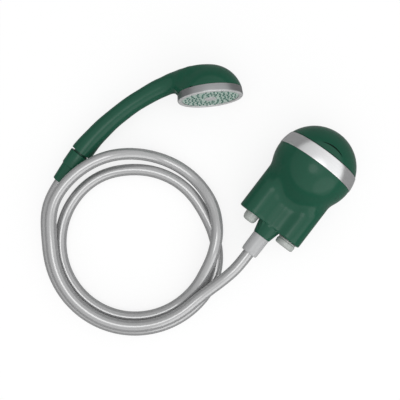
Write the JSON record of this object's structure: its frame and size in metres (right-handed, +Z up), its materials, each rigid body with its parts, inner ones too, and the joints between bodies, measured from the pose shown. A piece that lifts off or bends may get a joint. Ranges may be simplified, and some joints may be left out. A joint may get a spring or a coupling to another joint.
{
  "type": "camp shower pump",
  "caption": "Rechargeable camp shower: green ball headed dip pump with a silver band, a coiled grey hose and a curved hand shower.",
  "frame": {"origin": "on the floor, on the flat back of the pump, under the middle of the ball", "axes": "+Y along the pump axis towards the domed intake cover, +X to the charge port side, +Z up from the flat back"},
  "size_m": [0.241, 0.2965, 0.0649],
  "materials": {
    "green_plastic": "gloss",
    "silver_trim": "satin",
    "pale_plastic": "gloss",
    "cream_plastic": "satin",
    "steel": "satin",
    "black_rubber": "matte",
    "black_plastic": "matte",
    "grey_sleeve": "satin",
    "cell_wrap": "satin",
    "board": "satin",
    "grey_hose": "gloss",
    "satin_trim": "satin",
    "mint_plastic": "satin",
    "green_rubber": "matte"
  },
  "bodies": {
    "set": {"pump_housing": "green_plastic", "trim_band": "silver_trim", "strainer": "pale_plastic", "eye_plate": "cream_plastic", "eye_screws": "steel", "pump_chamber": "cream_plastic", "cover_o_ring": "black_rubber", "shaft_seal": "black_rubber", "motor_can": "steel", "motor_end_cap": "black_plastic", "bulkhead": "cream_plastic", "bulkhead_screws": "steel", "outlet_tube": "cream_plastic", "outlet_spigot": "cream_plastic", "hose_sleeve": "grey_sleeve", "battery_cell_left": "cell_wrap", "battery_cell_right": "cell_wrap", "cell_sleeves": "black_plastic", "circuit_board": "board", "power_switch": "black_plastic", "charge_socket": "black_plastic", "hose_lead": "grey_hose", "hose_coil": "grey_hose", "hose_tail": "steel", "nut_washer": "black_rubber", "handset_shell": "green_plastic", "bezel_ring": "satin_trim", "spray_plate": "mint_plastic", "nozzle_mat": "green_rubber", "spread_plate": "cream_plastic", "face_o_ring": "black_rubber", "centre_cap": "satin_trim", "centre_screw": "steel"},
    "cover": {"intake_cover": "green_plastic"},
    "rotor": {"motor_shaft": "steel", "impeller": "cream_plastic"},
    "button": {"power_button": "pale_plastic"},
    "port_cover": {"charge_cover": "pale_plastic"},
    "nut": {"coupling_nut": "green_plastic"}
  },
  "joints": [
    {"name": "cover_pull", "type": "slide", "parent": "set", "child": "cover", "axis": [0, 1, 0], "range_m": [0, 0.035]},
    {"name": "rotor_spin", "type": "hinge", "parent": "set", "child": "rotor", "pos_m": [0, 0.012, 0.024], "axis": [0, 1, 0], "continuous": true},
    {"name": "button_press", "type": "slide", "parent": "set", "child": "button", "axis": [0, 1, 0], "range_m": [0, 0.0015], "stiffness_N_per_m": 800},
    {"name": "port_cover_pull", "type": "slide", "parent": "set", "child": "port_cover", "axis": [0, -1, 0], "range_m": [0, 0.012]},
    {"name": "nut_turn", "type": "hinge", "parent": "set", "child": "nut", "pos_m": [-0.18928, -0.1251, 0.01095], "axis": [-0.0012, -0.9984, -0.0563], "continuous": true}
  ]
}
